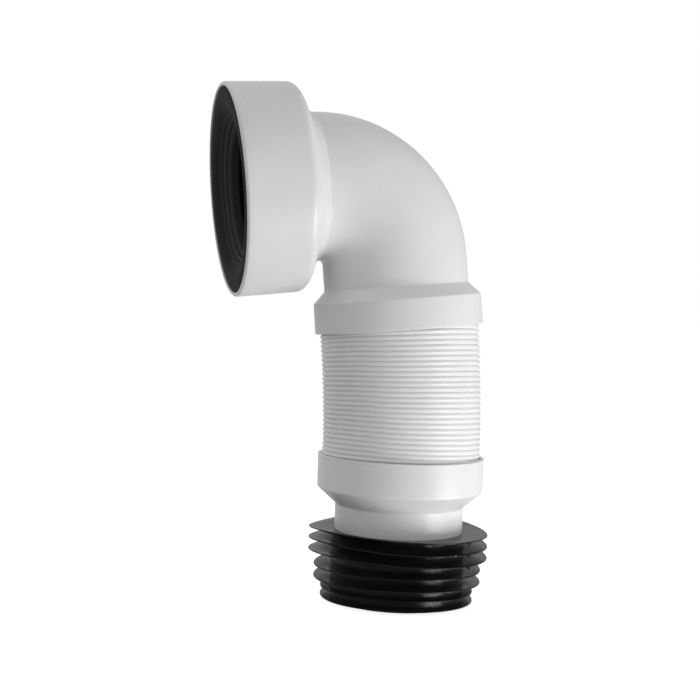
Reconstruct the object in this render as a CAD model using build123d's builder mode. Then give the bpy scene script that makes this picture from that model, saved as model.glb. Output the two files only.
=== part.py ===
"""Extendable pan connector: a bend with an inlet socket, a corrugated tube and an outlet with a finned seal.

Millimetres, +Z up. The origin is the centre of the outlet's lower end, and the inlet faces -X.
The tube is drawn as in the photograph, nearly closed up and leaning a little towards the inlet.
"""

import os
from math import cos, hypot, radians, sin, tan

from build123d import *

# Inlet socket of the bend
SOCKET_RADIUS = 67.5
SOCKET_DRAFT = 0.7
SOCKET_WALL = 2.6
SOCKET_RIM_CHAMFER = 0.7
MOUTH_REACH = 108.0
SHOULDER_ANGLE = 67.0
SHOULDER_ROUND = 6.0

# Pipe of the bend, and the stepped neck between it and the socket
PIPE_RADIUS = 47.6
PIPE_WALL = 2.7
CREASE_RADIUS = 3.1
NECK_SET_OFF = 1.7
NECK_LENGTH = 5.5
NECK_STEP = 3.6

# Collar of the bend, over the upper end of the tube
INLET_RISE = 95.5
COLLAR_RADIUS = 55.2
COLLAR_FLARE = 0.4
COLLAR_HEIGHT = 19.6
COLLAR_CONE_HEIGHT = 7.8
COLLAR_CHAMFER = 0.8

# Corrugated tube: the length that shows, and what goes into the collar and the cuff
TUBE_LENGTH = 84.1
TUBE_LEAN = 6.3
FOLDS = 26
CREST_RADIUS = 52.5
FOLD_DEPTH = 1.9
TUBE_WALL = 1.6
TUBE_INSERT = 13.0
TUBE_CLEARANCE = 0.3

# Outlet cuff under the tube, and its spigot
CUFF_RADIUS = 55.2
CUFF_DRAFT = 0.3
CUFF_HEIGHT = 21.7
CUFF_CHAMFER = 0.8
CUFF_CONE_HEIGHT = 11.0
SPIGOT_RADIUS = 42.5
SPIGOT_WALL = 2.5
SPIGOT_SHOWN = 16.6

# Finned seal on the spigot: three large fins, two middle ones and two small ones, from the top
SLEEVE_WALL = 1.6
SEAL_FOOT = 1.4
SEAL_CLEARANCE = 0.1
FIN_TIP = 0.9
FIN_ROOT = 1.7
FIN_ANGLE = 6.8
LARGE_FIN_RADIUS = 59.4
LARGE_FINS = 3
LARGE_FIN_PITCH = 7.4
MIDDLE_FIN_RADIUS = 55.4
MIDDLE_FINS = 2
MIDDLE_FIN_PITCH = 7.8
MIDDLE_FIN_GAP = 8.9
SMALL_FIN_RADIUS = 50.6
SMALL_FINS = 2
SMALL_FIN_PITCH = 6.1
SMALL_FIN_GAP = 6.1
LOWEST_FIN = 1.1

# Inlet seal: a rubber band in the socket that turns in as a funnel with ribs, down to a plain throat
BAND_WALL = 2.0
BAND_DEPTH = 26.0
BAND_SET_BACK = 0.9
BAND_LIP = 1.0
BAND_STOP = 1.8
FUNNEL_DEPTH = 2.7
FUNNEL_RADIUS = 48.6
THROAT_RADIUS = 40.0
THROAT_LENGTH = 4.0
THROAT_SLANT = 0.4
RIBS = 3
RIB_PITCH = 2.6
RIB_HEIGHT = 1.1

# Heights of the fins' roots, from the lowest up, and of the outlet's steps
small_roots = [LOWEST_FIN + i * SMALL_FIN_PITCH for i in range(SMALL_FINS)]
middle_foot = small_roots[-1] + SMALL_FIN_GAP
middle_roots = [middle_foot + i * MIDDLE_FIN_PITCH for i in range(MIDDLE_FINS)]
large_foot = middle_roots[-1] + MIDDLE_FIN_GAP
large_roots = [large_foot + i * LARGE_FIN_PITCH for i in range(LARGE_FINS)]
seal_height = large_roots[-1] + FIN_ROOT / 2
spigot_foot = SEAL_FOOT + SEAL_CLEARANCE
cone_foot = seal_height + SPIGOT_SHOWN
cone_top = cone_foot + CUFF_CONE_HEIGHT
cuff_top = cone_top + CUFF_HEIGHT

# The tube is an arc in the XZ plane, bent about a line along Y on its -X side
lean = radians(TUBE_LEAN)
arc_radius = TUBE_LENGTH / lean
arc_axis = Axis((-arc_radius, 0, cuff_top), (0, -1, 0))
valley_radius = CREST_RADIUS - FOLD_DEPTH
tube_bore = valley_radius - TUBE_WALL
tube_seat = CREST_RADIUS + TUBE_CLEARANCE
seat_depth = TUBE_INSERT + TUBE_CLEARANCE


def along_tube(share):
    """The plane across the tube at a share of its bent length, from 0 at the cuff to 1 at the collar."""
    turn = share * lean
    centre = (arc_radius * (cos(turn) - 1), 0, cuff_top + arc_radius * sin(turn))
    return Plane(origin=centre, x_dir=(cos(turn), 0, sin(turn)), z_dir=(-sin(turn), 0, cos(turn)))


def section_plane(centre, outward, up):
    """The sketch plane of a section: x is the distance outward from the centre, y the height above it."""
    return Plane(origin=centre, x_dir=outward, z_dir=outward.cross(up))


# The bend leans with the tube's upper end: its collar's lower edge, then the level of the inlet's axis
collar_level = along_tube(1)
inlet_level = collar_level.offset(INLET_RISE)
inlet_way = -collar_level.x_dir
collar_axis = Axis(collar_level.origin, collar_level.z_dir)
inlet_axis = Axis(inlet_level.origin, inlet_way)

# Sections lie in the plane of symmetry. The inlet's section runs along its axis, away from the tube
outlet_section = section_plane(Vector(0, 0, 0), Vector(1, 0, 0), Vector(0, 0, 1))
collar_section = section_plane(collar_level.origin, collar_level.x_dir, collar_level.z_dir)
inlet_section = section_plane(inlet_level.origin, inlet_way, inlet_level.z_dir)

# The bend's centre line has the pipe's radius plus the radius of the crease inside the bend
bend_radius = PIPE_RADIUS + CREASE_RADIUS
pipe_bore = PIPE_RADIUS - PIPE_WALL
bend_axis = Axis(inlet_level.from_local_coords((-bend_radius, 0, -bend_radius)), (0, 1, 0))
bend_start = Plane(origin=inlet_level.from_local_coords((-bend_radius, 0, 0)), z_dir=inlet_way)
leg_top = INLET_RISE - bend_radius

# Outside of the socket: the neck steps up from the pipe, and a steep rounded shoulder leads to the rim
neck_foot = bend_radius + NECK_SET_OFF
neck_end = neck_foot + NECK_LENGTH
neck_radius = PIPE_RADIUS + NECK_STEP
socket_back = SOCKET_RADIUS - SOCKET_DRAFT
steepness = tan(radians(SHOULDER_ANGLE))
shoulder = neck_end + (socket_back - neck_radius) / steepness

# Inside of the socket: a shoulder one wall inside the outer one, a stop for the seal, then its seat
band_seat = SOCKET_RADIUS - SOCKET_WALL
band_front = MOUTH_REACH - BAND_SET_BACK
band_back = band_front - BAND_DEPTH
stop_radius = band_seat - BAND_STOP
wall_along = SOCKET_WALL / sin(radians(SHOULDER_ANGLE))
bore_end = neck_end + wall_along - (neck_radius - pipe_bore) / steepness
bore_shoulder = bore_end + (stop_radius - pipe_bore) / steepness

# Inside of the collar: the tube's seat, then a cone one wall inside the outer one
collar_cone_top = COLLAR_HEIGHT + COLLAR_CONE_HEIGHT
collar_run = COLLAR_RADIUS - PIPE_RADIUS
collar_fall = COLLAR_CONE_HEIGHT / collar_run
collar_wall_drop = PIPE_WALL * hypot(1, collar_fall)
bore_cone_top = collar_cone_top + PIPE_WALL * collar_fall - collar_wall_drop
bore_cone_foot = bore_cone_top - (tube_bore - pipe_bore) * collar_fall

# White bend, one moulding: inlet socket, quarter bend and collar
with BuildPart() as bend_elbow:
    with BuildSketch(inlet_section) as socket_outside:
        with BuildLine():
            Polyline(
                (bend_radius, 0),
                (bend_radius, PIPE_RADIUS),
                (neck_foot, PIPE_RADIUS),
                (neck_end, neck_radius),
                (shoulder, socket_back),
                (MOUTH_REACH, SOCKET_RADIUS),
                (MOUTH_REACH, 0),
                close=True,
            )
        make_face()
        corner = socket_outside.vertices().sort_by_distance((shoulder, socket_back))[0]
        fillet(corner, SHOULDER_ROUND)
        rim = socket_outside.vertices().sort_by_distance((MOUTH_REACH, SOCKET_RADIUS))[0]
        chamfer(rim, SOCKET_RIM_CHAMFER)
    revolve(axis=inlet_axis)
    with BuildSketch(bend_start):
        Circle(PIPE_RADIUS)
    revolve(axis=bend_axis, revolution_arc=90)
    with BuildSketch(collar_section) as collar_outside:
        with BuildLine():
            Polyline(
                (0, 0),
                (COLLAR_RADIUS + COLLAR_FLARE, 0),
                (COLLAR_RADIUS, COLLAR_HEIGHT),
                (PIPE_RADIUS, collar_cone_top),
                (PIPE_RADIUS, leg_top),
                (0, leg_top),
                close=True,
            )
        make_face()
        lower_edge = collar_outside.vertices().sort_by_distance((COLLAR_RADIUS + COLLAR_FLARE, 0))[0]
        chamfer(lower_edge, COLLAR_CHAMFER)
    revolve(axis=collar_axis)
    with BuildSketch(inlet_section) as socket_inside:
        with BuildLine():
            Polyline(
                (bend_radius, 0),
                (bend_radius, pipe_bore),
                (bore_end, pipe_bore),
                (bore_shoulder, stop_radius),
                (band_back, stop_radius),
                (band_back, band_seat),
                (MOUTH_REACH, band_seat),
                (MOUTH_REACH, 0),
                close=True,
            )
        make_face()
        corner = socket_inside.vertices().sort_by_distance((bore_shoulder, stop_radius))[0]
        fillet(corner, SHOULDER_ROUND - SOCKET_WALL)
    revolve(axis=inlet_axis, mode=Mode.SUBTRACT)
    with BuildSketch(bend_start):
        Circle(pipe_bore)
    revolve(axis=bend_axis, revolution_arc=90, mode=Mode.SUBTRACT)
    with BuildSketch(collar_section):
        with BuildLine():
            Polyline(
                (0, 0),
                (tube_seat, 0),
                (tube_seat, seat_depth),
                (tube_bore, seat_depth),
                (tube_bore, bore_cone_foot),
                (pipe_bore, bore_cone_top),
                (pipe_bore, leg_top),
                (0, leg_top),
                close=True,
            )
        make_face()
    revolve(axis=collar_axis, mode=Mode.SUBTRACT)
bend_elbow.part.label = "bend_elbow"

# Black inlet seal: its section is the band, the funnel, the ribs in the funnel's neck and the throat
band_radius = band_seat - SEAL_CLEARANCE
funnel_end = band_front - FUNNEL_DEPTH
ribs_end = funnel_end - RIBS * RIB_PITCH
throat_end = ribs_end - THROAT_LENGTH
rib_fall = (FUNNEL_RADIUS - THROAT_RADIUS) / RIBS
funnel_lean = FUNNEL_DEPTH / (band_radius - BAND_LIP - FUNNEL_RADIUS)
funnel_back = funnel_end - BAND_WALL + (band_radius - 2 * BAND_WALL - FUNNEL_RADIUS) * funnel_lean
rib_line = []
for rib in range(RIBS):
    rib_foot = funnel_end - rib * RIB_PITCH
    rib_base = FUNNEL_RADIUS - rib * rib_fall
    rib_line.append((rib_foot, rib_base))
    rib_line.append((rib_foot - RIB_PITCH / 2 + RIB_HEIGHT, rib_base - rib_fall / 2))

with BuildPart() as inlet_seal:
    with BuildSketch(inlet_section):
        with BuildLine():
            Polyline(
                (band_back, band_radius),
                (band_front, band_radius),
                (band_front, band_radius - BAND_LIP),
                *rib_line,
                (ribs_end, THROAT_RADIUS),
                (throat_end, THROAT_RADIUS),
                (throat_end - THROAT_SLANT, THROAT_RADIUS + BAND_WALL),
                (ribs_end, THROAT_RADIUS + BAND_WALL),
                (funnel_end - BAND_WALL, FUNNEL_RADIUS + BAND_WALL),
                (funnel_back, band_radius - BAND_WALL),
                (band_back, band_radius - BAND_WALL),
                close=True,
            )
        make_face()
    revolve(axis=inlet_axis)
inlet_seal.part.label = "inlet_seal"

# White corrugated tube: rings of crest and valley along the arc, with plain ends in the cuff and the collar
with BuildPart() as flexible_tube:
    with BuildSketch(along_tube(0).offset(-TUBE_INSERT)):
        Circle(CREST_RADIUS)
    for fold in range(FOLDS):
        with BuildSketch(along_tube(fold / FOLDS)):
            Circle(CREST_RADIUS)
        with BuildSketch(along_tube((fold + 0.5) / FOLDS)):
            Circle(valley_radius)
    with BuildSketch(along_tube(1)):
        Circle(CREST_RADIUS)
    with BuildSketch(along_tube(1).offset(TUBE_INSERT)):
        Circle(CREST_RADIUS)
    loft(ruled=True)
    with BuildSketch(along_tube(0)):
        Circle(tube_bore)
    revolve(axis=arc_axis, revolution_arc=TUBE_LEAN, mode=Mode.SUBTRACT)
    with BuildSketch(along_tube(0)):
        Circle(tube_bore)
    extrude(amount=-TUBE_INSERT, mode=Mode.SUBTRACT)
    with BuildSketch(along_tube(1)):
        Circle(tube_bore)
    extrude(amount=TUBE_INSERT, mode=Mode.SUBTRACT)
flexible_tube.part.label = "flexible_tube"

# White outlet, one moulding: the cuff under the tube, a cone one wall thick and the spigot
spigot_bore = SPIGOT_RADIUS - SPIGOT_WALL
cuff_foot_radius = CUFF_RADIUS - CUFF_DRAFT
cuff_rise = CUFF_CONE_HEIGHT / (cuff_foot_radius - SPIGOT_RADIUS)
cuff_wall_rise = SPIGOT_WALL * hypot(1, cuff_rise)
inner_cone_foot = cone_foot - SPIGOT_WALL * cuff_rise + cuff_wall_rise
inner_cone_top = inner_cone_foot + (tube_bore - spigot_bore) * cuff_rise

with BuildPart() as outlet_cuff:
    with BuildSketch(outlet_section) as cuff_wall:
        with BuildLine():
            Polyline(
                (spigot_bore, spigot_foot),
                (SPIGOT_RADIUS, spigot_foot),
                (SPIGOT_RADIUS, cone_foot),
                (cuff_foot_radius, cone_top),
                (CUFF_RADIUS, cuff_top),
                (tube_seat, cuff_top),
                (tube_seat, cuff_top - seat_depth),
                (tube_bore, cuff_top - seat_depth),
                (tube_bore, inner_cone_top),
                (spigot_bore, inner_cone_foot),
                close=True,
            )
        make_face()
        upper_edge = cuff_wall.vertices().sort_by_distance((CUFF_RADIUS, cuff_top))[0]
        chamfer(upper_edge, CUFF_CHAMFER)
    revolve(axis=Axis.Z)
outlet_cuff.part.label = "outlet_cuff"

# Black finned seal: a sleeve that turns in under the spigot's end, with thin fins that rise to their tips
sleeve_bore = SPIGOT_RADIUS + SEAL_CLEARANCE
sleeve_radius = sleeve_bore + SLEEVE_WALL
fins = [(LARGE_FIN_RADIUS, root) for root in large_roots]
fins += [(MIDDLE_FIN_RADIUS, root) for root in middle_roots]
fins += [(SMALL_FIN_RADIUS, root) for root in small_roots]

with BuildPart() as fin_seal:
    with BuildSketch(outlet_section):
        with BuildLine():
            Polyline(
                (spigot_bore, 0),
                (sleeve_radius, 0),
                (sleeve_radius, seal_height),
                (sleeve_bore, seal_height),
                (sleeve_bore, SEAL_FOOT),
                (spigot_bore, SEAL_FOOT),
                close=True,
            )
        make_face()
        for fin_radius, root in fins:
            tip = root + (fin_radius - sleeve_radius) * tan(radians(FIN_ANGLE))
            with BuildLine():
                Polyline(
                    (sleeve_bore, root - FIN_ROOT / 2),
                    (sleeve_radius, root - FIN_ROOT / 2),
                    (fin_radius, tip - FIN_TIP / 2),
                    (fin_radius, tip + FIN_TIP / 2),
                    (sleeve_radius, root + FIN_ROOT / 2),
                    (sleeve_bore, root + FIN_ROOT / 2),
                    close=True,
                )
            make_face()
    revolve(axis=Axis.Z)
fin_seal.part.label = "fin_seal"

os.makedirs("parts", exist_ok=True)
export_step(bend_elbow.part, "parts/bend_elbow.step")
export_step(inlet_seal.part, "parts/inlet_seal.step")
export_step(flexible_tube.part, "parts/flexible_tube.step")
export_step(outlet_cuff.part, "parts/outlet_cuff.step")
export_step(fin_seal.part, "parts/fin_seal.step")
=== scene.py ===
# %% [markdown]
# # Extendable pan connector
# This is the bent white pipe between a toilet and a soil pipe: a socket with a rubber seal, a quarter bend,
# a corrugated tube that draws out, and a spigot with a finned rubber sleeve. The solids come from the
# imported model, so the first step loads them. They stay the measure of size and place, while each surface
# gets its fine shape here.

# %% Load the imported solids
from math import cos, hypot, pi, radians, sin, tan

import bpy
import numpy as np
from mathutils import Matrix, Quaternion, Vector


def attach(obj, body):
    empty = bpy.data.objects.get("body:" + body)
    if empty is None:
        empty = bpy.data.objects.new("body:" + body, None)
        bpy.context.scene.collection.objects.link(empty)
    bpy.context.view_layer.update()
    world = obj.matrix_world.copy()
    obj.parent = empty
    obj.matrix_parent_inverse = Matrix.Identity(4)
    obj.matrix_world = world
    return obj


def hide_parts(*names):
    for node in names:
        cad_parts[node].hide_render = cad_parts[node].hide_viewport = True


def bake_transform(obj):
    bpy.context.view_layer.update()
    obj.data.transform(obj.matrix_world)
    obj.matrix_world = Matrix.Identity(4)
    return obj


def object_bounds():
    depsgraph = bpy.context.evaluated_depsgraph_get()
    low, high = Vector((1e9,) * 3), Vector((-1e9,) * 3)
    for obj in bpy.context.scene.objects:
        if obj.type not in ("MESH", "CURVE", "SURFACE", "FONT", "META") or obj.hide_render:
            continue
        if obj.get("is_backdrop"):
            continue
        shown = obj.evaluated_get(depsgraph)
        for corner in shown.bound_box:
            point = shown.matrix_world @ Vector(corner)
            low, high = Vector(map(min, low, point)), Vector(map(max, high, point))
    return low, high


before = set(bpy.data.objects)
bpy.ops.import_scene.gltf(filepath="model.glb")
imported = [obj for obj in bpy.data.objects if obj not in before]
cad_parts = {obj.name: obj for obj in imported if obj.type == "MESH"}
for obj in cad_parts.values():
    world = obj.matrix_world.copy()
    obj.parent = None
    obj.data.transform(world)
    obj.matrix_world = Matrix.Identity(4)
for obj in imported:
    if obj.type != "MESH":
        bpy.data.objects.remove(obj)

cad_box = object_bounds()
MM = 0.001

# %% [markdown]
# The camera comes first, because every later choice is judged through it. Its place was found by matching
# the round rims of the part with their outlines in the photograph. It is given the way a photographer would
# say it: a point to aim at, a distance, two angles and a slight roll. Focal length and distance together
# set the perspective.

# %% Camera
AIM = Vector((-37.7, 0, 163.5)) * MM
CAMERA_DISTANCE = 736 * MM
CAMERA_AZIMUTH = radians(-15.74)
CAMERA_ELEVATION = radians(1.1)
CAMERA_ROLL = radians(2.11)
LENS = 57.77
SENSOR_WIDTH = 36


def towards(azimuth, elevation):
    """Unit direction from the object.

    Azimuth 0 is towards -Y and turns towards +X, and elevation is above the horizon.
    """
    level = cos(elevation)
    return Vector((sin(azimuth) * level, -cos(azimuth) * level, sin(elevation)))


def look_back(direction):
    """The turn that makes a camera or lamp, placed out along a direction, face back at the object."""
    return (-direction).to_track_quat("-Z", "Y")


lens = bpy.data.cameras.new("camera")
lens.lens = LENS
lens.sensor_width = SENSOR_WIDTH
camera = bpy.data.objects.new("camera", lens)
bpy.context.scene.collection.objects.link(camera)
view_line = towards(CAMERA_AZIMUTH, CAMERA_ELEVATION)
camera.location = AIM + view_line * CAMERA_DISTANCE
camera.rotation_mode = "QUATERNION"
camera.rotation_quaternion = look_back(view_line) @ Quaternion((0, 0, 1), CAMERA_ROLL)
bpy.context.scene.camera = camera
bpy.context.scene.view_settings.view_transform = "Standard"
print("camera at", [round(value, 3) for value in camera.location])

# %% [markdown]
# Shader maths is easier to read as Python sums than as a web of nodes. One small class wraps the output of
# a node: adding or multiplying two of them adds a Math node, and one method makes any other node from its
# type, its settings and its sockets. Every finish below is written with it.

# %% Shader arithmetic


class Flow:
    """One output of a shader node. Arithmetic on it adds Math nodes, and node() adds a node of any type."""

    def __init__(self, tree, output=None):
        self.tree = tree
        self.output = output

    def node(self, kind, settings, sockets, output=0):
        """Adds a node, applies its settings first, then gives each socket its value or its link."""
        made = self.tree.nodes.new(kind)
        for setting, value in settings.items():
            setattr(made, setting, value)
        for socket, value in sockets.items():
            if isinstance(value, Flow):
                self.tree.links.new(value.output, made.inputs[socket])
            else:
                made.inputs[socket].default_value = value
        return Flow(self.tree, made.outputs[output] if made.outputs else None)

    def math(self, operation, first, second):
        """A Math node on two values."""
        return self.node("ShaderNodeMath", {"operation": operation}, {0: first, 1: second})

    def __add__(self, other):
        return self.math("ADD", self, other)

    def __radd__(self, other):
        return self.math("ADD", other, self)

    def __sub__(self, other):
        return self.math("SUBTRACT", self, other)

    def __rsub__(self, other):
        return self.math("SUBTRACT", other, self)

    def __mul__(self, other):
        return self.math("MULTIPLY", self, other)

    def __rmul__(self, other):
        return self.math("MULTIPLY", other, self)


def noise(place, scale, detail):
    """Noise between 0 and 1 about 0.5, with so many features to the metre."""
    return place.node("ShaderNodeTexNoise", {}, {"Vector": place, "Scale": scale, "Detail": detail})


def rise(value, low, high):
    """0 below low, 1 above high, and a smooth rise between them."""
    settings = {"interpolation_type": "SMOOTHSTEP"}
    return value.node("ShaderNodeMapRange", settings, {"Value": value, "From Min": low, "From Max": high})


def mix_colour(share, first, second):
    """A colour that goes from the first to the second as the share goes from 0 to 1."""
    return share.node("ShaderNodeMix", {"data_type": "RGBA"}, {0: share, 6: first, 7: second}, output=2)


print("shader arithmetic ready")

# %% [markdown]
# The photograph has a pure white surround. A white world would also flood the object with light, so the
# world has three levels: white for the camera, a light grey for what the gloss mirrors, and a soft even
# grey for the light that falls on the object. The floor does the same, and adds its own lit colour so that
# it keeps a shadow.

# %% World and floor
SURROUND_LIGHT = 0.62
MIRRORED_LIGHT = 0.52
FLOOR_GLOW = 0.88
FLOOR_MIRRORED = 0.2
FLOOR_COLOUR = (0.45, 0.45, 0.45, 1)
FLOOR_REACH = 6.0
FLOOR_LEVEL = -0.2 * MM
WHITE = (1, 1, 1, 1)


def by_ray(flow, seen, mirrored, soft):
    """A level for camera rays, also through clear matter, one for mirrored rays, and one for soft light."""
    kinds = ("Is Camera Ray", "Is Transmission Ray", "Is Glossy Ray")
    rays = [flow.node("ShaderNodeLightPath", {}, {}, output=kind) for kind in kinds]
    camera_ray, clear_ray, glossy_ray = rays
    direct = flow.math("MAXIMUM", camera_ray, clear_ray)
    return soft + (seen - soft) * direct + (mirrored - soft) * glossy_ray


world = bpy.data.worlds.new("white_studio")
bpy.context.scene.world = world
world.use_nodes = True
world.node_tree.nodes.clear()
sky = Flow(world.node_tree)
sky_strength = by_ray(sky, seen=1.0, mirrored=MIRRORED_LIGHT, soft=SURROUND_LIGHT)
sky_light = sky.node("ShaderNodeBackground", {}, {"Color": WHITE, "Strength": sky_strength})
sky.node("ShaderNodeOutputWorld", {}, {"Surface": sky_light})

floor_finish = bpy.data.materials.new("white_floor")
floor_finish.use_nodes = True
floor_finish.node_tree.nodes.clear()
ground = Flow(floor_finish.node_tree)
matt = ground.node("ShaderNodeBsdfDiffuse", {}, {"Color": FLOOR_COLOUR})
floor_strength = by_ray(ground, seen=FLOOR_GLOW, mirrored=FLOOR_MIRRORED, soft=0.0)
glow = ground.node("ShaderNodeEmission", {}, {"Color": WHITE, "Strength": floor_strength})
glowing = ground.node("ShaderNodeAddShader", {}, {0: matt, 1: glow})
ground.node("ShaderNodeOutputMaterial", {}, {"Surface": glowing})

corners = np.array([(-1, -1, 0), (1, -1, 0), (1, 1, 0), (-1, 1, 0)]) * FLOOR_REACH
corners[:, 2] = FLOOR_LEVEL
floor_mesh = bpy.data.meshes.new("floor")
floor_mesh.from_pydata(corners.tolist(), [], [(0, 1, 2, 3)])
floor_mesh.materials.append(floor_finish)
floor = bpy.data.objects.new("floor", floor_mesh)
floor.visible_shadow = False
bpy.context.scene.collection.objects.link(floor)
floor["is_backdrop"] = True
print("world light", SURROUND_LIGHT, "floor at", FLOOR_LEVEL)

# %% [markdown]
# The white pipe shows where the lamps stood. Along the round cuff it is brightest about 60 degrees right of
# the camera and a flat grey on the left, so there is one main softbox far to the right. On the socket,
# which lies level, it is brightest below the middle, so the softbox is low: it shines up past the floor,
# which casts no shadow. A mirrored ray would meet the floor before this lamp, so its highlights are looked
# for from the surface alone, with multiple importance sampling off. A weak lamp above lifts the tops.
# Another behind is for the views from the back, and is left out of the gloss, where it would draw bright
# lines along the edges.

# %% Lamps


def softbox(name, azimuth, elevation, distance, size, power):
    """A square lamp at a distance from the object that faces it."""
    lamp = bpy.data.lights.new(name, "AREA")
    lamp.size = size
    lamp.energy = power
    holder = bpy.data.objects.new(name, lamp)
    bpy.context.scene.collection.objects.link(holder)
    direction = towards(radians(azimuth), radians(elevation))
    holder.location = AIM + direction * distance
    holder.rotation_mode = "QUATERNION"
    holder.rotation_quaternion = look_back(direction)
    return holder


main_lamp = softbox("low_right", azimuth=49, elevation=-28, distance=1.1, size=0.6, power=9.3)
main_lamp.data.cycles.use_multiple_importance_sampling = False
top_lamp = softbox("overhead", azimuth=0, elevation=88, distance=1.3, size=1.0, power=0.4)
back_lamp = softbox("behind", azimuth=185, elevation=25, distance=1.3, size=0.8, power=5.0)
back_lamp.visible_glossy = False
print("lamps:", [(lamp.name, lamp.data.energy) for lamp in (main_lamp, top_lamp, back_lamp)])

# %% [markdown]
# Everything on this connector is round about one bent centre line: straight up the spigot, a gentle arc
# through the tube, straight up the leg, a quarter turn, and straight out to the mouth. So each piece can be
# one profile, a closed outline of distance along the line and distance from it, turned about the line. The
# alternative, a separate torus, cylinder and cone for each stretch, would leave joins to hide.

# %% Centre line
CUFF_TOP = 94.95
TUBE_LENGTH = 84.1
TUBE_LEAN = radians(6.3)
INLET_RISE = 95.5
PIPE_RADIUS = 47.6
CREASE_RADIUS = 3.1
MOUTH_REACH = 108.0

bend_radius = PIPE_RADIUS + CREASE_RADIUS
run_lengths = np.array([CUFF_TOP, TUBE_LENGTH, INLET_RISE - bend_radius, bend_radius * pi / 2, MOUTH_REACH])
run_turns = np.array([0, TUBE_LEAN, 0, pi / 2, 0])
run_starts = np.cumsum(run_lengths) - run_lengths
run_headings = np.cumsum(run_turns) - run_turns
collar_foot = run_starts[2]
bend_end = run_starts[4]


def centre_line(along):
    """Place (x, z) and heading of the centre line at a distance along it, from the outlet's lower end.

    Each run adds its chord. An arc of length L that turns by A has a chord of L sin(A/2) / (A/2), in the
    direction halfway through its turn, and a straight run is an arc with no turn.
    """
    x = np.zeros_like(along)
    z = np.zeros_like(along)
    heading = np.zeros_like(along)
    for length, turn, start, first_heading in zip(run_lengths, run_turns, run_starts, run_headings):
        done = np.clip(along - start, 0, length)
        turned = turn * done / length
        chord = done * np.sinc(turned / (2 * pi))
        x -= chord * np.sin(first_heading + turned / 2)
        z += chord * np.cos(first_heading + turned / 2)
        heading += turned
    return x, z, heading


mouth = bend_end + MOUTH_REACH - bend_radius
places = np.stack(centre_line(np.array([collar_foot, mouth]))[:2], 1)
print("collar and mouth centres, mm:", np.round(places, 1).tolist())

# %% [markdown]
# Moulded edges are never sharp, and their rounding is what catches the light. Each corner of a profile
# therefore has a rounding radius, and becomes an arc that touches both of its sides. A Bevel modifier could
# do this after the mesh is made, but rounding the outline is exact and keeps the mesh a clean grid.

# %% Profiles
FINE_STEP = 3.0
LONG_STEP = 4.0


def unit(rows):
    """Rows of vectors, each divided by its length."""
    return rows / np.linalg.norm(rows, axis=-1, keepdims=True)


def soften(corners, steps=7):
    """Rounds a closed outline whose rows are (along, radius, rounding).

    The arc's centre lies on the line that halves the corner, at rounding / sin(half the corner's angle), and
    points on it are blends of its two end directions, weighted so that they keep the same length.
    """
    corners = np.array(corners, float)
    point, rounding = corners[:, :2], corners[:, 2:]
    behind = unit(np.roll(point, 1, 0) - point)
    ahead = unit(np.roll(point, -1, 0) - point)
    half = np.arccos(np.clip((behind * ahead).sum(1, keepdims=True), -1, 1)) / 2
    middle = point + unit(behind + ahead) * rounding / np.sin(half)
    first = point + behind * rounding / np.tan(half) - middle
    last = point + ahead * rounding / np.tan(half) - middle
    sweep = pi - 2 * half
    share = np.linspace(0, 1, steps)
    first_weight = np.sin((1 - share) * sweep) / np.sin(sweep)
    last_weight = np.sin(share * sweep) / np.sin(sweep)
    arcs = middle[:, None] + first_weight[..., None] * first[:, None]
    arcs += last_weight[..., None] * last[:, None]
    return arcs.reshape(-1, 2)


def divide(outline, step):
    """Splits the long sides of a closed outline evenly, so that none is longer than a step."""
    side = np.roll(outline, -1, 0) - outline
    parts = np.maximum(1, np.ceil(np.linalg.norm(side, axis=1) / step)).astype(int)
    first = np.repeat(np.cumsum(parts) - parts, parts)
    share = (np.arange(parts.sum()) - first) / np.repeat(parts, parts)
    return np.repeat(outline, parts, 0) + share[:, None] * np.repeat(side, parts, 0)


print("a softened square has", len(soften([(0, 1, 0.1), (0, 2, 0.1), (1, 2, 0.1), (1, 1, 0.1)])), "points")

# %% [markdown]
# Turning a profile about the line gives a grid of points: one row for each point of the profile, one column
# for each step round. Both directions close on themselves, so the mesh has no seam and no poles. Its faces
# must point outwards, which the sign of the enclosed volume tells.

# %% Turned pieces
SIDES = 200
SHARP_EDGE = radians(45)
ROUND = np.linspace(0, 2 * pi, SIDES, endpoint=False)


def turn_profile(profile, angle=ROUND, slide=0.0):
    """Points of a profile turned about the centre line: centre + radius (cos(a) outward + sin(a) across).

    A slide moves points along the line first, and may be a different length for each of them.
    """
    along, radius = profile.T[:, :, None]
    x, z, heading = centre_line(along + slide * np.ones_like(angle))
    outward = radius * np.cos(angle)
    across = radius * np.sin(angle)
    return np.stack([x + outward * np.cos(heading), across, z + outward * np.sin(heading)], -1)


def make_piece(name, points, finish, slot, *nodes):
    """A closed mesh from a grid of points in millimetres, which stands for the named solids."""
    rows, sides = points.shape[:2]
    here = np.arange(rows * sides).reshape(rows, sides)
    ahead = np.roll(here, -1, 0)
    quads = np.stack([here, np.roll(here, -1, 1), np.roll(ahead, -1, 1), ahead], -1).reshape(-1, 4)
    places = points.reshape(-1, 3) * MM
    first, second, third, fourth = (places[quads[:, corner]] for corner in range(4))
    volume = (first * (np.cross(second, third) + np.cross(third, fourth))).sum() / 6
    if volume < 0:
        quads = quads[:, ::-1]
    mesh = bpy.data.meshes.new(name)
    mesh.from_pydata(places.tolist(), [], quads.tolist())
    mesh.polygons.foreach_set("use_smooth", np.ones(len(quads), bool))
    mesh.set_sharp_from_angle(angle=SHARP_EDGE)
    mesh.materials.append(finish)
    piece = bpy.data.objects.new(name, mesh)
    bpy.context.scene.collection.objects.link(piece)
    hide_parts(*nodes)
    print(name, "faces:", len(quads), "volume, cm3:", round(abs(volume) * 1e6, 1))
    return piece


print("sides round each piece:", SIDES)

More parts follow.
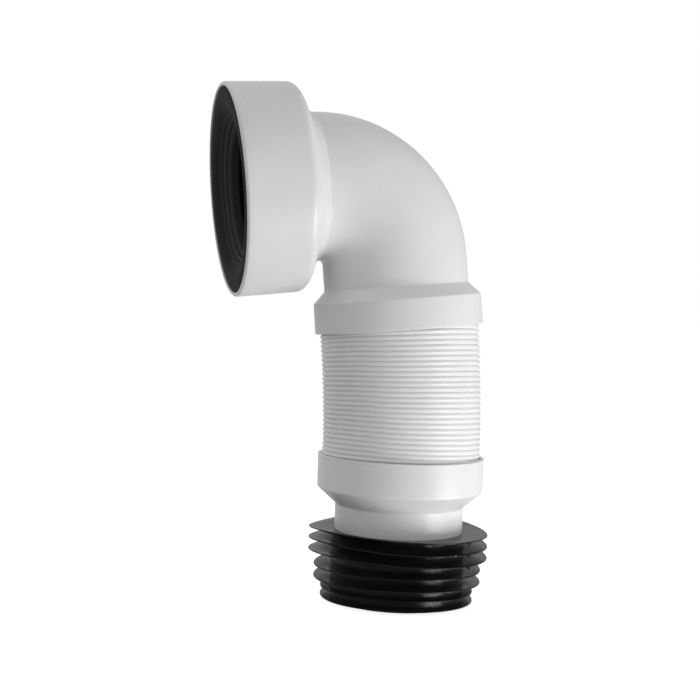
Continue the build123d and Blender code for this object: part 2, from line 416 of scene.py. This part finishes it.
# %% [markdown]
# The white mouldings are a satin plastic: neutral, a little uneven in tone, with a fine skin that breaks up
# the gloss and a very slow ripple where thick walls have sunk as they cooled. A single colour would look
# like paper. The pattern is noise in the object's own coordinates, so it stays put in every view.

# %% White moulded plastic
TONE_RANGE = 0.03
WARMTH = 0.003
CLOUDS = 22
CLOUD_EDGES = 0.35, 0.65
CLOUD_GLOSS = 0.12
SINK_MARKS = 45
SKIN = 1400
SKIN_DEPTH = 0.000003
SKIN_GLOSS = 0.1
PLASTIC_GLOSS = 0.34


def white_plastic(name, tone, roughness, sink_depth):
    """Satin white plastic: cloudy tone, uneven gloss, and a bump of sink marks and fine skin, in metres."""
    light = (tone, tone, tone - WARMTH, 1)
    dark = (tone - TONE_RANGE, tone - TONE_RANGE, tone - TONE_RANGE, 1)
    material = bpy.data.materials.new(name)
    material.use_nodes = True
    material.node_tree.nodes.clear()
    flow = Flow(material.node_tree)
    place = flow.node("ShaderNodeTexCoord", {}, {}, output="Object")
    cloud = noise(place, CLOUDS, 3.0)
    sink = noise(place, SINK_MARKS, 0.0)
    skin = noise(place, SKIN, 2.0)
    height = sink * sink_depth + skin * SKIN_DEPTH
    sockets = {
        "Base Color": mix_colour(rise(cloud, *CLOUD_EDGES), light, dark),
        "Roughness": roughness + CLOUD_GLOSS * (cloud - 0.5) + SKIN_GLOSS * (skin - 0.5),
        "Normal": flow.node("ShaderNodeBump", {}, {"Strength": 1.0, "Distance": 1.0, "Height": height}),
        "Specular IOR Level": PLASTIC_GLOSS,
    }
    surface = flow.node("ShaderNodeBsdfPrincipled", {}, sockets)
    flow.node("ShaderNodeOutputMaterial", {}, {"Surface": surface})
    return material


moulding_finish = white_plastic("white_moulding", tone=0.775, roughness=0.29, sink_depth=0.00012)
# The tube's tone is painted lighter than the mouldings', a painted light that stands in for the light its
# translucent plastic carries into the grooves.
tube_finish_with_painted_light = white_plastic("white_tube", tone=0.815, roughness=0.25, sink_depth=0.00004)
print("finishes:", moulding_finish.name, tube_finish_with_painted_light.name)

# %% [markdown]
# The bend is one moulding: a collar over the tube, a quarter bend, a stepped neck and the wide socket with
# its rounded shoulder. Its outline goes up the outside from the collar's foot to the rim and back down the
# inside, past the seat of the seal and the seat of the tube.

# %% Bend with collar and socket
COLLAR_RADIUS = 55.2
COLLAR_FLARE = 0.4
COLLAR_HEIGHT = 19.6
COLLAR_CONE_HEIGHT = 7.8
PIPE_WALL = 2.7
NECK_SET_OFF = 1.7
NECK_LENGTH = 5.5
NECK_STEP = 3.6
SHOULDER_ANGLE = radians(67)
SHOULDER_ROUND = 6.0
SOCKET_RADIUS = 67.5
SOCKET_DRAFT = 0.7
SOCKET_WALL = 2.6
RIM_ROUND = 1.9
CREST_RADIUS = 52.5
FOLD_DEPTH = 1.9
TUBE_WALL = 1.6
TUBE_INSERT = 13.0
TUBE_CLEARANCE = 0.3
BAND_DEPTH = 26.0
BAND_SET_BACK = 0.9
BAND_STOP = 1.8

pipe_bore = PIPE_RADIUS - PIPE_WALL
tube_bore = CREST_RADIUS - FOLD_DEPTH - TUBE_WALL
tube_seat = CREST_RADIUS + TUBE_CLEARANCE
seat_depth = TUBE_INSERT + TUBE_CLEARANCE
neck_radius = PIPE_RADIUS + NECK_STEP
socket_back = SOCKET_RADIUS - SOCKET_DRAFT
band_seat = SOCKET_RADIUS - SOCKET_WALL
stop_radius = band_seat - BAND_STOP
steepness = tan(SHOULDER_ANGLE)

neck_foot = bend_end + NECK_SET_OFF
neck_end = neck_foot + NECK_LENGTH
shoulder = neck_end + (socket_back - neck_radius) / steepness
band_front = mouth - BAND_SET_BACK
band_back = band_front - BAND_DEPTH
bore_end = neck_end + SOCKET_WALL / sin(SHOULDER_ANGLE) - (neck_radius - pipe_bore) / steepness
bore_shoulder = bore_end + (stop_radius - pipe_bore) / steepness

collar_cone_foot = collar_foot + COLLAR_HEIGHT
collar_cone_top = collar_cone_foot + COLLAR_CONE_HEIGHT
collar_fall = COLLAR_CONE_HEIGHT / (COLLAR_RADIUS - PIPE_RADIUS)
bore_cone_top = collar_cone_top + PIPE_WALL * (collar_fall - hypot(1, collar_fall))
bore_cone_foot = bore_cone_top - (tube_bore - pipe_bore) * collar_fall

bend_corners = [
    (collar_foot, tube_seat, 0.3),
    (collar_foot, COLLAR_RADIUS + COLLAR_FLARE, 0.9),
    (collar_cone_foot, COLLAR_RADIUS, 1.6),
    (collar_cone_top, PIPE_RADIUS, 1.4),
    (neck_foot, PIPE_RADIUS, 1.2),
    (neck_end, neck_radius, 2.0),
    (shoulder, socket_back, SHOULDER_ROUND),
    (mouth, SOCKET_RADIUS, RIM_ROUND),
    (mouth, band_seat, 0.5),
    (band_back, band_seat, 0.2),
    (band_back, stop_radius, 0.4),
    (bore_shoulder, stop_radius, SHOULDER_ROUND - SOCKET_WALL),
    (bore_end, pipe_bore, 2.0),
    (bore_cone_top, pipe_bore, 1.0),
    (bore_cone_foot, tube_bore, 1.0),
    (collar_foot + seat_depth, tube_bore, 0.3),
    (collar_foot + seat_depth, tube_seat, 0.2),
]
bend = make_piece(
    "bend",
    turn_profile(divide(soften(bend_corners), FINE_STEP)),
    moulding_finish,
    "white_plastic",
    "bend_elbow",
)
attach(bend, "inlet")

# %% [markdown]
# The corrugated tube is what lets the connector draw out and flex: twenty-six tight folds with round crests
# and narrow grooves. A crest is a parabola in section, so its slope changes evenly and the groove between
# two crests is a sharp cusp. A tube bent by hand doesn't open its folds evenly: here they are tipped up a
# little towards the viewer, and the collar sits askew on them. So each ring of points slides along the line
# by a length that changes round the tube. It is made as two pieces that meet in the bottom of a groove. The
# ends of each piece are worked out as points on the line, the lower piece's far end moved square to the
# tipped folds by their mean tip.

# %% Corrugated tube
FOLDS = 26
LOWER_FOLDS = 14.5
FOLD_POINTS = 12
SEATED_FOLDS = 1.5
GROOVE_DEPTH = 1.15
LOW_TIP = 0.038
HIGH_TIP = 0.070
TIP_SIDE = radians(-130)
FOLD_DROP = 0.8
STILL_DEPTH = 5.0
MEAN_TIP_SHARE = 0.3

fold_pitch = TUBE_LENGTH / FOLDS
tube_split = CUFF_TOP + LOWER_FOLDS * fold_pitch


def fold_line(first, last):
    """Outside of the folds between two places.

    The radius is crest - depth u^2, with u = 0 on a crest and 1 in a groove.
    """
    points = int(round((last - first) / fold_pitch * FOLD_POINTS)) + 1
    along = np.linspace(first, last, points)
    phase = (along - CUFF_TOP) / fold_pitch
    from_crest = 2 * np.abs(phase - np.round(phase))
    radius = CREST_RADIUS - GROOVE_DEPTH * from_crest**2
    return np.stack([along, radius], 1)


def tipped(profile):
    """How far each point slides along the line: radius * tip * cos(angle from the tipped side), less a drop.

    The tip grows from the cuff to the collar and fades to nothing in the two seats.
    """
    along, radius = profile.T[:, :, None]
    low_seat = (CUFF_TOP - TUBE_INSERT, CUFF_TOP - STILL_DEPTH)
    high_seat = (collar_foot + STILL_DEPTH, collar_foot + TUBE_INSERT)
    tip = np.interp(along, low_seat + high_seat, (0, LOW_TIP, HIGH_TIP, 0))
    drop = np.interp(along, low_seat + high_seat, (0, FOLD_DROP, FOLD_DROP, 0))
    return radius * tip * np.cos(ROUND - TIP_SIDE) - drop


def half_tube(name, folds, end):
    """One half of the tube: the folds, the plain end in its seat, and the bore."""
    low, high = folds[[0, -1], 0]
    rim = [(high, tube_bore), (end, tube_bore), (end, CREST_RADIUS)]
    if end > high:
        rim = [(end, CREST_RADIUS), (end, tube_bore), (low, tube_bore)]
    outline = divide(np.vstack([folds, rim]), LONG_STEP)
    points = turn_profile(outline, slide=tipped(outline))
    return make_piece(name, points, tube_finish_with_painted_light, "white_plastic", "flexible_tube")


lower_folds = fold_line(CUFF_TOP - SEATED_FOLDS * fold_pitch, tube_split)
upper_folds = fold_line(tube_split, collar_foot + SEATED_FOLDS * fold_pitch)
lower_tube = half_tube("tube_lower", lower_folds, CUFF_TOP - TUBE_INSERT)
upper_tube = half_tube("tube_upper", upper_folds, collar_foot + TUBE_INSERT)


def on_line(along, away=0.0):
    """A point of the centre line in metres, moved so many millimetres away from the tipped side."""
    x, z = centre_line(np.array([along], float))[:2]
    return (x[0] - away * cos(TIP_SIDE)) * MM, -away * sin(TIP_SIDE) * MM, z[0] * MM


stretch_end = tube_split - STILL_DEPTH
mean_tip = LOW_TIP + MEAN_TIP_SHARE * (HIGH_TIP - LOW_TIP)
lean_off = (stretch_end - CUFF_TOP) * mean_tip
on_line(CUFF_TOP)
on_line(stretch_end, away=lean_off)
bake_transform(lower_tube)
on_line(tube_split)
on_line(collar_foot)
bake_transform(upper_tube)

# %% [markdown]
# The outlet is the second white moulding: a cuff that holds the tube's lower end, a cone, and the spigot
# that carries the rubber sleeve. Its top edge has a slight lip, which shows as a thin step in the outline.

# %% Cuff and spigot
CUFF_RADIUS = 55.2
CUFF_DRAFT = 0.3
CUFF_HEIGHT = 21.7
CUFF_CONE_HEIGHT = 11.0
SPIGOT_RADIUS = 42.5
SPIGOT_WALL = 2.5
SEAL_FOOT = 1.4
SEAL_CLEARANCE = 0.1
LIP_REACH = 0.35
LIP_HEIGHT = 1.3

cone_top = CUFF_TOP - CUFF_HEIGHT
cone_foot = cone_top - CUFF_CONE_HEIGHT
cuff_foot_radius = CUFF_RADIUS - CUFF_DRAFT
spigot_bore = SPIGOT_RADIUS - SPIGOT_WALL
spigot_foot = SEAL_FOOT + SEAL_CLEARANCE
cone_rise = CUFF_CONE_HEIGHT / (cuff_foot_radius - SPIGOT_RADIUS)
inner_cone_foot = cone_foot + SPIGOT_WALL * (hypot(1, cone_rise) - cone_rise)
inner_cone_top = inner_cone_foot + (tube_bore - spigot_bore) * cone_rise

cuff_corners = [
    (spigot_foot, spigot_bore, 0.3),
    (spigot_foot, SPIGOT_RADIUS, 0.4),
    (cone_foot, SPIGOT_RADIUS, 1.6),
    (cone_top, cuff_foot_radius, 1.4),
    (CUFF_TOP - LIP_HEIGHT, CUFF_RADIUS - LIP_REACH / 2, 0.3),
    (CUFF_TOP - LIP_HEIGHT / 2, CUFF_RADIUS + LIP_REACH / 2, 0.3),
    (CUFF_TOP, CUFF_RADIUS, 0.4),
    (CUFF_TOP, tube_seat, 0.3),
    (CUFF_TOP - seat_depth, tube_seat, 0.2),
    (CUFF_TOP - seat_depth, tube_bore, 0.3),
    (inner_cone_top, tube_bore, 1.0),
    (inner_cone_foot, spigot_bore, 1.0),
]
cuff = make_piece(
    "cuff_and_spigot",
    turn_profile(divide(soften(cuff_corners), LONG_STEP)),
    moulding_finish,
    "white_plastic",
    "outlet_cuff",
)
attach(cuff, "outlet")

# %% [markdown]
# The rubber is nearly black, and what shows is gloss: seen from a low angle, the fins' upper faces mirror
# the white studio at both sides and the black sleeve in the middle. So the finish needs a low, slightly
# uneven roughness, a weak head-on reflection, and a faint grey bloom as fresh rubber has.

# %% Black rubber
RUBBER_CLOUDS = 60
RUBBER_CLOUD_GLOSS = 0.14
RUBBER_SKIN = 1100
RUBBER_SKIN_DEPTH = 0.000002
BLOOM_EDGES = 0.4, 0.75


def black_rubber(name, roughness, gloss, dark, pale, bloom_and_painted_light_share):
    """Smooth black rubber: dark or pale by a given share, bloom on the fins and painted light and shade in
    the inlet, with uneven gloss and a fine mould skin.
    """
    material = bpy.data.materials.new(name)
    material.use_nodes = True
    material.node_tree.nodes.clear()
    flow = Flow(material.node_tree)
    place = flow.node("ShaderNodeTexCoord", {}, {}, output="Object")
    cloud = noise(place, RUBBER_CLOUDS, 4.0)
    skin = noise(place, RUBBER_SKIN, 3.0)
    height = skin * RUBBER_SKIN_DEPTH
    sockets = {
        "Base Color": mix_colour(bloom_and_painted_light_share(place), (dark, dark, dark, 1), (pale, pale, pale, 1)),
        "Roughness": roughness + RUBBER_CLOUD_GLOSS * (cloud - 0.5) + SKIN_GLOSS * (skin - 0.5),
        "Normal": flow.node("ShaderNodeBump", {}, {"Strength": 1.0, "Distance": 1.0, "Height": height}),
        "Specular IOR Level": gloss,
    }
    surface = flow.node("ShaderNodeBsdfPrincipled", {"distribution": "GGX"}, sockets)
    flow.node("ShaderNodeOutputMaterial", {}, {"Surface": surface})
    return material


def in_clouds(place):
    """A share of bloom that comes and goes in soft clouds."""
    return rise(noise(place, RUBBER_CLOUDS, 4.0), *BLOOM_EDGES)


sleeve_rubber = black_rubber("fin_rubber", 0.22, gloss=0.21, dark=0.005, pale=0.009, bloom_and_painted_light_share=in_clouds)
print("finish:", sleeve_rubber.name)

# %% [markdown]
# The outlet's sleeve has seven thin fins, three large, two middling and two small, which rise a little
# towards their tips. All fins are one outline: up the outside from fin to fin, and back down the bore.
# Rubber this thin is never quite flat. Each fin waves a little, and all lie lower at two opposite sides,
# like a saddle. The large ones have taken a twist on one of those sides and droop on the other. The small
# nibs on their rims are what the halves of the mould leave, so they sit on opposite sides. Waves and twist
# curl a fin towards its tip, while saddle and droop tilt it from its root. In the groups below, the numbers
# are the tip's radius, the count, the pitch and the lowest root.

# %% Finned sleeve
SLEEVE_WALL = 1.6
FIN_TIP = 0.9
FIN_ROOT = 1.7
FIN_ANGLE = radians(6.8)
FIN_GROUPS = ((50.6, 2, 6.1, 1.1), (55.4, 2, 7.8, 13.3), (59.4, 3, 7.4, 30.0))
FIN_WAVE = 0.15
SLOW_WAVES = 2
SLOW_PHASE = 1.7
QUICK_WAVES = 5
QUICK_PHASE = 2.9
QUICK_SHARE = 0.5
FIN_SADDLE = np.array([0.5, 0.9, 1.1, 0.9, 0.6, 0.6, 0.9])
FIN_DROOP = np.array([0.3, 0.3, 0.3, 0.2, 1.7, 1.7, 1.2])
DROOP_FOCUS = 3
FIN_TWIST = np.array([0, 0, 0.3, 0.5, 1.8, 2.4, 2.6])
TWIST_SIDE = radians(164)
NIB_SIDES = radians(-58), radians(122)
NIB_HALF_WIDTH = radians(1.1)
NIB_DROP = 2.0
NIB_SPAN = 1.5
NIB_POINTS = 9
RIM_FOCUS = 12

sleeve_bore = SPIGOT_RADIUS + SEAL_CLEARANCE
sleeve_radius = sleeve_bore + SLEEVE_WALL
fins = [(radius, foot + pitch * i) for radius, count, pitch, foot in FIN_GROUPS for i in range(count)]
fin_roots = np.array([root for radius, root in fins])
fin_tips = np.array([radius for radius, root in fins])
seal_height = fin_roots[-1] + FIN_ROOT / 2

sleeve_corners = [(0, spigot_bore, 0.3), (0, sleeve_radius, 0.1)]
for radius, root in fins:
    tip = root + (radius - sleeve_radius) * tan(FIN_ANGLE)
    sleeve_corners += [
        (root - FIN_ROOT / 2, sleeve_radius, 0.1),
        (tip - FIN_TIP / 2, radius, 0.36),
        (tip + FIN_TIP / 2, radius, 0.36),
        (root + FIN_ROOT / 2, sleeve_radius, 0.1),
    ]
sleeve_corners += [
    (seal_height, sleeve_bore, 0.1),
    (SEAL_FOOT, sleeve_bore, 0.3),
    (SEAL_FOOT, spigot_bore, 0.3),
]
sleeve_profile = divide(soften(sleeve_corners), FINE_STEP)
nib_turns = np.linspace(-NIB_SPAN, NIB_SPAN, NIB_POINTS) * NIB_HALF_WIDTH
nib_steps = np.concatenate([side + nib_turns for side in NIB_SIDES])
sleeve_angle = np.sort(np.concatenate([ROUND, nib_steps % (2 * pi)]))
sleeve_points = turn_profile(sleeve_profile, sleeve_angle)

along, radius = sleeve_profile.T
from_root = along - (radius - sleeve_radius) * tan(FIN_ANGLE)
fin = np.abs(from_root[:, None] - fin_roots).argmin(1)
share_out = np.clip((radius - sleeve_radius) / (fin_tips[fin] - sleeve_radius), 0, 1)[:, None]

slow_wave = np.sin(SLOW_WAVES * sleeve_angle + SLOW_PHASE * fin[:, None])
quick_wave = QUICK_SHARE * np.sin(QUICK_WAVES * sleeve_angle + QUICK_PHASE * fin[:, None])
from_side = sleeve_angle - TWIST_SIDE
twist = FIN_TWIST[fin][:, None] * np.sin(2 * from_side) * (1 + np.cos(from_side)) / 2
saddle = -FIN_SADDLE[fin][:, None] * np.cos(2 * from_side)
droop = -FIN_DROOP[fin][:, None] * ((1 - np.cos(from_side)) / 2) ** DROOP_FOCUS
curl = FIN_WAVE * (slow_wave + quick_wave) + twist
sleeve_points[..., 2] += share_out**2 * curl + share_out * (saddle + droop)

nib = sum(np.exp(-((np.sin((sleeve_angle - side) / 2) * 2 / NIB_HALF_WIDTH) ** 2)) for side in NIB_SIDES)
under_rim = (from_root < fin_roots[fin]) & (fin_tips[fin] == fin_tips.max())
sleeve_points[..., 2] -= NIB_DROP * nib * under_rim[:, None] * share_out**RIM_FOCUS

sleeve = make_piece("finned_sleeve", sleeve_points, sleeve_rubber, "black_rubber", "fin_seal")
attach(sleeve, "outlet")

# %% [markdown]
# The inlet's seal sits in the socket behind a thin white rim: a band against the wall, a wide shallow
# funnel with a crowned face, then three ribs one behind the other, and a plain throat. It is a turned
# outline too. In section the face is a low parabola, and each rib is a smaller one that leans out, so thin
# dark lines part them. Its colour is painted paler in two steps with the depth behind the mouth, a painted
# light on the ribs and throat, and painted darker along the grooves, a painted shade.

# %% Inlet seal
BAND_WALL = 2.0
BAND_LIP = 1.0
FUNNEL_DEPTH = 2.7
FUNNEL_RADIUS = 48.6
THROAT_RADIUS = 40.0
THROAT_LENGTH = 4.0
THROAT_SLANT = 0.4
RIBS = 3
RIB_PITCH = 2.6
RIB_HEIGHT = 1.1
RIB_POINTS = 14
FACE_CROWN = 2.0
FACE_POINTS = 25
# Painted light, a paler colour deeper in the mouth, and painted shade, darker lines along the grooves of the
# ribs.
RIB_PAINTED_LIGHT = 0.42
RIB_LIGHT_DEPTHS = 3 * MM, 5 * MM
THROAT_LIGHT_DEPTHS = 10.5 * MM, 12.5 * MM
LIGHT_LEFT_IN_GROOVES = 0.25
GROOVE_EDGES = 0.04, 0.28

band_radius = band_seat - SEAL_CLEARANCE
funnel_end = band_front - FUNNEL_DEPTH
ribs_end = funnel_end - RIBS * RIB_PITCH
throat_end = ribs_end - THROAT_LENGTH
rib_fall = (FUNNEL_RADIUS - THROAT_RADIUS) / RIBS
face_width = band_radius - BAND_LIP - FUNNEL_RADIUS
funnel_lean = FUNNEL_DEPTH / face_width
funnel_back = funnel_end - BAND_WALL + (band_radius - 2 * BAND_WALL - FUNNEL_RADIUS) * funnel_lean

lip_corners = [
    (ribs_end, THROAT_RADIUS, 0.1),
    (throat_end, THROAT_RADIUS, 0.5),
    (throat_end - THROAT_SLANT, THROAT_RADIUS + BAND_WALL, 0.5),
    (ribs_end, THROAT_RADIUS + BAND_WALL, 0.5),
    (funnel_end - BAND_WALL, FUNNEL_RADIUS + BAND_WALL, 0.5),
    (funnel_back, band_radius - BAND_WALL, 0.5),
    (band_back, band_radius - BAND_WALL, 0.3),
    (band_back, band_radius, 0.3),
    (band_front, band_radius, 0.2),
]
face_share = np.linspace(0, 1, FACE_POINTS)
face_bulge = FACE_CROWN * 4 * face_share * (1 - face_share)
face_along = band_front - face_share * FUNNEL_DEPTH + face_bulge
face_radius = FUNNEL_RADIUS + (1 - face_share) * face_width
face_line = np.stack([face_along, face_radius], 1)
rib_phase = np.linspace(0, RIBS, RIBS * RIB_POINTS + 1)
rib_bulge = RIB_HEIGHT * (1 - (2 * (rib_phase % 1) - 1) ** 2)
rib_along = funnel_end - rib_phase * RIB_PITCH + rib_bulge
rib_line = np.stack([rib_along, FUNNEL_RADIUS - rib_phase * rib_fall], 1)
lip_profile = divide(np.vstack([soften(lip_corners), face_line, rib_line[1:-1]]), FINE_STEP)

mouth_x, mouth_z, mouth_heading = (float(value[0]) for value in centre_line(np.array([mouth])))
into_mouth = Vector((sin(mouth_heading), 0, -cos(mouth_heading)))
mouth_centre = Vector((mouth_x, 0, mouth_z)) * MM


def vector_math(operation, first, second, output="Vector"):
    """A Vector Math node on two vectors."""
    return first.node("ShaderNodeVectorMath", {"operation": operation}, {0: first, 1: second}, output=output)


def with_depth(place):
    """A share of painted light that grows with the depth behind the mouth, and painted shade that thins it
    in the grooves of the ribs.

    The distance from the axis, counted in ribs, is a whole number in each groove, so its distance from the
    nearest whole number tells how far a place is from a groove.
    """
    from_mouth = vector_math("SUBTRACT", place, mouth_centre)
    depth = vector_math("DOT_PRODUCT", from_mouth, into_mouth, output="Value")
    across = vector_math("CROSS_PRODUCT", from_mouth, into_mouth)
    from_axis = across.node("ShaderNodeVectorMath", {"operation": "LENGTH"}, {0: across}, output="Value")
    ribs_passed = (FUNNEL_RADIUS * MM - from_axis) * (1 / (rib_fall * MM))
    from_groove = place.math("PINGPONG", ribs_passed, 0.5)
    # Painted light: paler with depth on the ribs, and palest in the throat.
    on_ribs = RIB_PAINTED_LIGHT * rise(depth, *RIB_LIGHT_DEPTHS)
    in_throat = (1 - RIB_PAINTED_LIGHT) * rise(depth, *THROAT_LIGHT_DEPTHS)
    # Painted shade: the grooves keep only a quarter of the painted light.
    beside_groove = LIGHT_LEFT_IN_GROOVES + (1 - LIGHT_LEFT_IN_GROOVES) * rise(from_groove, *GROOVE_EDGES)
    return (on_ribs + in_throat) * beside_groove


# Pale is painted light deep in the mouth, and the grooves get painted shade.
lip_rubber = black_rubber("inlet_rubber", 0.6, gloss=0.05, dark=0.022, pale=0.1, bloom_and_painted_light_share=with_depth)
lip_seal = make_piece("inlet_lip_seal", turn_profile(lip_profile), lip_rubber, "black_rubber", "inlet_seal")
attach(lip_seal, "inlet")

# %% [markdown]
# The dressed object must be as large as the solids. The two boxes are set side by side, and the largest
# difference between them is printed.

# %% Sizes
visual_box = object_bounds()
boxes = {"cad": [list(corner) for corner in cad_box], "visual": [list(corner) for corner in visual_box]}
difference = np.abs(np.subtract(boxes["cad"], boxes["visual"])).max()
print("largest difference, mm:", round(float(difference) / MM, 2))
